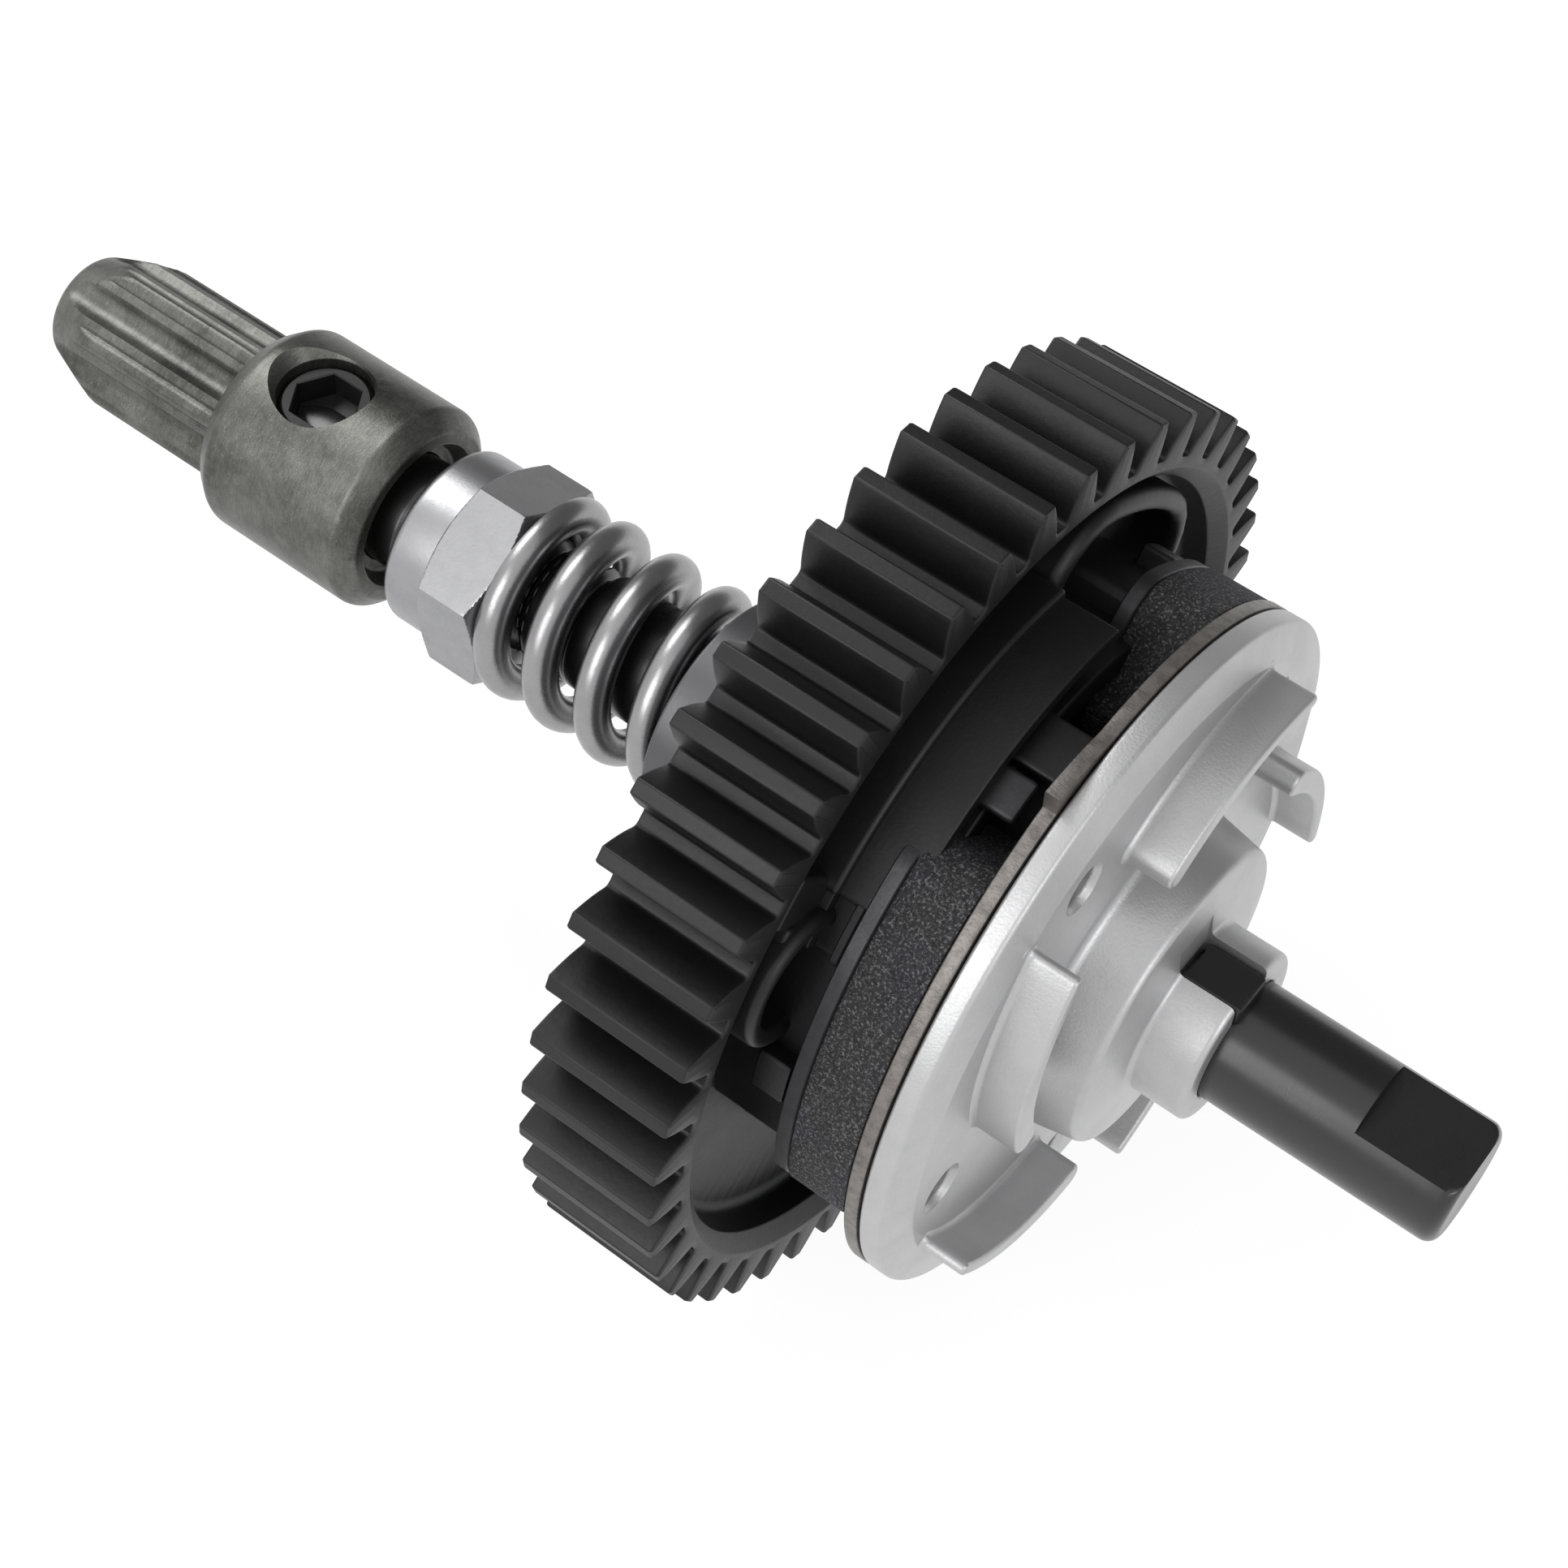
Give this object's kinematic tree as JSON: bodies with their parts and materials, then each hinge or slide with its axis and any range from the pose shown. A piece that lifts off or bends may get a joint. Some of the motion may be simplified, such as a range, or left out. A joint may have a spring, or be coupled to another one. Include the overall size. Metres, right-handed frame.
{
  "type": "torque limiter",
  "caption": "Spring-loaded friction torque limiter on a shaft: a spur gear with friction blocks slips between a rear plate and a finned hub when overloaded, set by a nut at the spring.",
  "frame": {"origin": "on the shaft's axis, at the middle of the gear's face width", "axes": "+X along the shaft towards the end with the flat, +Z from the axis through the hub's key slot, the shaft's flat and the yoke's set screw, +Y completes the right-handed frame"},
  "size_m": [0.0687, 0.0392, 0.0392],
  "materials": {
    "shaft_black": "black oxide, smooth, semi-gloss",
    "key_dark": "dark, satin",
    "hub_silver": "matt, finely blasted",
    "disc_steel": "grained rolled steel",
    "pin_steel": "plain",
    "plate_silver": "turned, satin",
    "yoke_cast": "cast and blasted, mottled grey",
    "screw_black": "black oxide",
    "gear_nylon": "moulded, satin black",
    "bush_grey": "sintered, dull",
    "pad_friction": "friction compound, charcoal with light specks",
    "insert_metal": "dull grey metal",
    "spring_steel": "bright plated wire",
    "nut_steel": "bright plated",
    "ring_nylon": "natural nylon"
  },
  "bodies": {
    "shaft_and_hub": {"shaft": "shaft_black", "drive_key": "key_dark", "hub": "hub_silver", "disc_pin_1": "pin_steel", "disc_pin_2": "pin_steel", "disc_pin_3": "pin_steel", "disc_pin_4": "pin_steel", "disc_pin_5": "pin_steel", "steel_disc": "disc_steel", "rear_plate": "plate_silver", "yoke": "yoke_cast", "set_screw": "screw_black"},
    "gear_and_pads": {"spur_gear": "gear_nylon", "gear_bush": "bush_grey", "pad_1": "pad_friction", "pad_2": "pad_friction", "pad_3": "pad_friction", "insert_1": "insert_metal", "insert_2": "insert_metal", "insert_3": "insert_metal"},
    "spring_end": {"spring": "spring_steel"},
    "nut": {"lock_nut": "nut_steel", "nylon_ring": "ring_nylon"}
  },
  "joints": [
    {"name": "gear_slip", "type": "hinge", "parent": "shaft_and_hub", "child": "gear_and_pads", "pos_m": [0, 0, 0], "axis": [1, 0, 0], "continuous": true},
    {"name": "spring_slide", "type": "slide", "parent": "shaft_and_hub", "child": "spring_end", "axis": [1, 0, 0], "range_m": [-0.001, 0.0032], "deforming": ["spring"]},
    {"name": "nut_turn", "type": "hinge", "parent": "spring_end", "child": "nut", "pos_m": [-0.0186, 0, 0], "axis": [1, 0, 0], "range_deg": [-450, 1440]}
  ],
  "couplings": [
    {"joint": "spring_slide", "follows": "nut_turn", "m_per_rad": 0.00012732}
  ]
}
